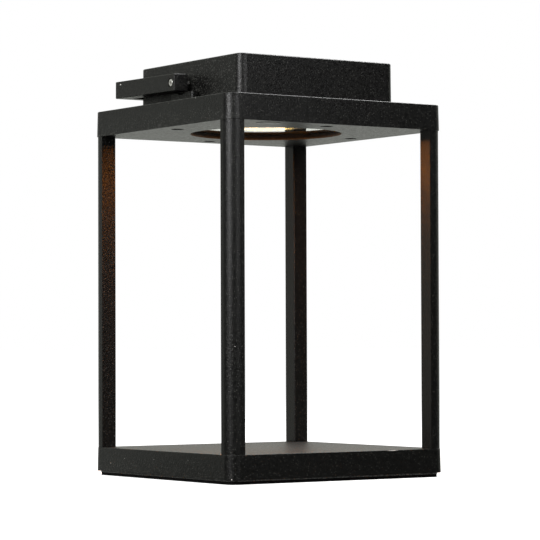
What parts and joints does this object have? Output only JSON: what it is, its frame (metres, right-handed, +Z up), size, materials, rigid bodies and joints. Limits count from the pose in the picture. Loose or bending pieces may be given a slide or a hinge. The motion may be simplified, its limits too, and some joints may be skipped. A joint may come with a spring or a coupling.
{
  "type": "battery lantern",
  "caption": "Square lantern of slim posts between a flat base and a collar, with a downward light, a battery box on top, a fold-down handle and a push button under the collar.",
  "frame": {"origin": "centre of the footprint, on the surface that the lantern stands on", "axes": "+Z up; -Y the side that holds the push button; +Y the side that the folded handle and the charging inlet are on; +X the handle's pivot line"},
  "size_m": [0.1802, 0.1802, 0.2916],
  "materials": {
    "powder_coat": "black powder coat, satin, finely textured",
    "sheet_paint": "black, semi-matt",
    "steel_fasteners": "bright zinc",
    "foot_rubber": "matte",
    "seal_rubber": "matte",
    "clear_cover": "clear",
    "pan_black": "black anodised",
    "circuit_board": "solder mask",
    "led_board_white": "white mask",
    "led_phosphor": "warm white emitter",
    "components": "moulded",
    "tray_plastic": "moulded",
    "cell_wrap": "shrink wrap",
    "nickel_strip": "nickel",
    "foam": "foam",
    "socket_shell": "bright",
    "button_plastic": "fine texture",
    "switch_plastic": "moulded",
    "lead_insulation": "smooth"
  },
  "bodies": {
    "casing": {"foot_mat": "foot_rubber", "bottom_cover": "sheet_paint", "cover_screws": "steel_fasteners", "base_casting": "powder_coat", "post_screws_lower": "steel_fasteners", "post_front": "powder_coat", "post_right": "powder_coat", "post_rear": "powder_coat", "post_left": "powder_coat", "post_screws_upper": "steel_fasteners", "collar_frame": "powder_coat", "housing_screws": "steel_fasteners", "glass_gasket": "seal_rubber", "cover_glass": "clear_cover", "light_pan": "pan_black", "light_pan_screws": "steel_fasteners", "led_board": "led_board_white", "led_chips": "led_phosphor", "led_board_screws": "steel_fasteners", "housing_gasket": "seal_rubber", "top_housing": "powder_coat", "handle_rest_left": "powder_coat", "handle_rest_right": "powder_coat", "rest_screws": "steel_fasteners", "pivot_sleeves": "steel_fasteners", "pivot_screws": "steel_fasteners", "battery_tray": "tray_plastic", "tray_screws": "steel_fasteners", "battery_cells": "cell_wrap", "cell_strips": "nickel_strip", "battery_pad": "foam", "driver_board": "circuit_board", "driver_components": "components", "driver_screws": "steel_fasteners", "charge_board": "circuit_board", "charge_socket": "socket_shell", "charge_screws": "steel_fasteners", "flap_anchor": "seal_rubber", "switch_body": "switch_plastic", "switch_nut": "switch_plastic", "switch_contacts": "switch_plastic", "button_dome": "seal_rubber", "led_leads": "lead_insulation", "battery_leads": "lead_insulation", "switch_leads": "lead_insulation", "charge_leads": "lead_insulation"},
    "handle": {"handle": "powder_coat"},
    "power_button": {"power_button": "button_plastic"},
    "port_flap": {"port_flap": "seal_rubber"}
  },
  "joints": [
    {"name": "handle_swing", "type": "hinge", "parent": "casing", "child": "handle", "pos_m": [0, 0, 0.2758], "axis": [1, 0, 0], "range_deg": [0, 178.6]},
    {"name": "button_press", "type": "slide", "parent": "casing", "child": "power_button", "axis": [0, 0, 1], "range_m": [0, 0.0012], "stiffness_N_per_m": 2500, "springref_m": -0.0004, "deforming": ["button_dome"]},
    {"name": "flap_swing", "type": "hinge", "parent": "casing", "child": "port_flap", "pos_m": [0.04, 0.0889, 0.2556], "axis": [1, 0, 0], "range_deg": [0, 110], "stiffness_Nm_per_rad": 0.00002, "springref_deg": -5.73}
  ]
}
